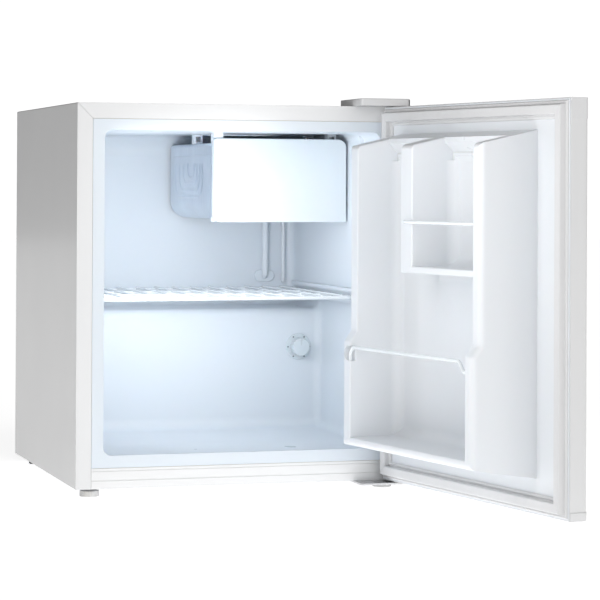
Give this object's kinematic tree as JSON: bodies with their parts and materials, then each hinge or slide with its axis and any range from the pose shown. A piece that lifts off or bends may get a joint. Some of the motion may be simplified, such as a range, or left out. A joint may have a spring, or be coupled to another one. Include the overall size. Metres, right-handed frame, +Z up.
{
  "type": "mini fridge",
  "caption": "Compact table-top refrigerator standing open, with a freezer box, sliding wire shelf, thermostat dial, bottle bays in the door and a compressor bay behind.",
  "frame": {"origin": "on the floor, below the middle of the cabinet's front plane", "axes": "+Z up, +Y from the front of the cabinet towards its back, +X to the right seen from the front"},
  "size_m": [0.5089, 0.8738, 0.5115],
  "materials": {
    "white_steel": "satin",
    "liner_plastic": "gloss",
    "trim_plastic": "satin",
    "grey_plastic": "satin",
    "insulating_foam": "matte",
    "seal_rubber": "matte",
    "black_rubber": "matte",
    "foot_plastic": "satin",
    "black_plastic": "satin",
    "bare_aluminium": "satin",
    "zinc_steel": "satin",
    "black_steel": "gloss",
    "copper": "satin",
    "coated_wire": "gloss"
  },
  "bodies": {
    "cabinet": {"outer_shell": "white_steel", "inner_liner": "liner_plastic", "bottom_rail": "white_steel", "base_panel": "zinc_steel", "back_panel": "zinc_steel", "condenser_coil": "copper", "insulation": "insulating_foam", "panel_screws": "zinc_steel", "foot_nuts": "zinc_steel", "rear_feet": "black_rubber", "compressor_tray": "zinc_steel", "rubber_mounts": "black_rubber", "mount_bolts": "zinc_steel", "compressor": "black_steel", "relay_cover": "black_plastic", "filter_dryer": "copper", "discharge_pipe": "copper", "suction_pipe": "copper", "capillary_tube": "copper", "condenser_pipe": "copper", "dryer_clip": "zinc_steel", "cord_gland": "black_rubber", "evaporator": "bare_aluminium", "evaporator_hangers": "trim_plastic", "hanger_screws": "zinc_steel", "freezer_hinge_lugs": "trim_plastic", "suction_tube": "copper", "tube_sleeve": "grey_plastic", "tube_grommet": "trim_plastic", "sensor_tube": "copper", "thermostat_body": "black_plastic", "thermostat_bezel": "trim_plastic", "top_hinge_plate": "zinc_steel", "top_hinge_pin": "zinc_steel", "top_hinge_screws": "zinc_steel", "top_hinge_cover": "grey_plastic", "bottom_hinge_bracket": "zinc_steel", "bottom_hinge_pin": "zinc_steel", "bottom_hinge_screws": "zinc_steel"},
    "main_door": {"door_outer_skin": "white_steel", "door_foam": "insulating_foam", "door_inner_liner": "liner_plastic", "door_gasket": "seal_rubber", "gasket_magnets": "black_rubber", "door_top_cap": "trim_plastic", "door_bottom_cap": "trim_plastic", "door_bushes": "trim_plastic", "lower_door_rail": "coated_wire", "upper_door_rail": "coated_wire"},
    "freezer_flap": {"freezer_door": "liner_plastic"},
    "shelf": {"wire_shelf": "coated_wire"},
    "thermostat_dial": {"thermostat_knob": "grey_plastic", "thermostat_shaft": "zinc_steel"},
    "left_front_foot": {"front_left_foot": "foot_plastic"},
    "right_front_foot": {"front_right_foot": "foot_plastic"}
  },
  "joints": [
    {"name": "main_door_hinge", "type": "hinge", "parent": "cabinet", "child": "main_door", "pos_m": [0.203, -0.023, 0.2575], "axis": [0, 0, 1], "range_deg": [-100, 30]},
    {"name": "freezer_flap_hinge", "type": "hinge", "parent": "cabinet", "child": "freezer_flap", "pos_m": [0.001, 0.141, 0.4045], "axis": [0, 0, -1], "range_deg": [0, 100]},
    {"name": "shelf_slide", "type": "slide", "parent": "cabinet", "child": "shelf", "axis": [0, -1, 0], "range_m": [0, 0.1]},
    {"name": "thermostat_turn", "type": "hinge", "parent": "cabinet", "child": "thermostat_dial", "pos_m": [0.152, 0.25, 0.1705], "axis": [0, -1, 0], "range_deg": [0, 270]},
    {"name": "left_foot_screw", "type": "hinge", "parent": "cabinet", "child": "left_front_foot", "pos_m": [-0.197, 0.024, 0.02], "axis": [0, 0, 1], "continuous": true},
    {"name": "right_foot_screw", "type": "hinge", "parent": "cabinet", "child": "right_front_foot", "pos_m": [0.197, 0.024, 0.02], "axis": [0, 0, 1], "continuous": true}
  ]
}
